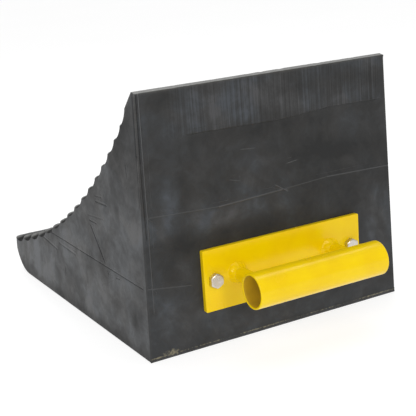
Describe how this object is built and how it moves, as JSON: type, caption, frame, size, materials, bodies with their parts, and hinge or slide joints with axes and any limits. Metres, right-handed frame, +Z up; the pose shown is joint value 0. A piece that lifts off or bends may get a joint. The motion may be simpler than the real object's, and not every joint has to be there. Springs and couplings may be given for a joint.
{
  "type": "wheel chock",
  "caption": "Solid rubber wheel chock: a wedge with a hollow, cross-grooved tyre face, a flat underside and a bolted-on steel tube handle on its upright back.",
  "frame": {"origin": "middle of the rubber block's footprint, on the ground", "axes": "+Z up, +X from the handle and the upright back face towards the nose that goes under the tyre, +Y across the width, to the left of someone holding the handle"},
  "size_m": [0.4375, 0.29, 0.2534],
  "materials": {
    "rubber": "moulded, dull, slightly marked",
    "yellow_paint": "yellow powder coat on steel, semi-gloss",
    "zinc": "bright zinc plated"
  },
  "bodies": {
    "root": {"rubber_block": "rubber", "insert_left": "zinc", "insert_right": "zinc", "handle_plate": "yellow_paint", "post_left": "yellow_paint", "post_right": "yellow_paint", "grip_tube": "yellow_paint", "plate_weld_left": "yellow_paint", "plate_weld_right": "yellow_paint", "grip_weld_left": "yellow_paint", "grip_weld_right": "yellow_paint", "bolt_left": "zinc", "bolt_right": "zinc"}
  },
  "joints": []
}
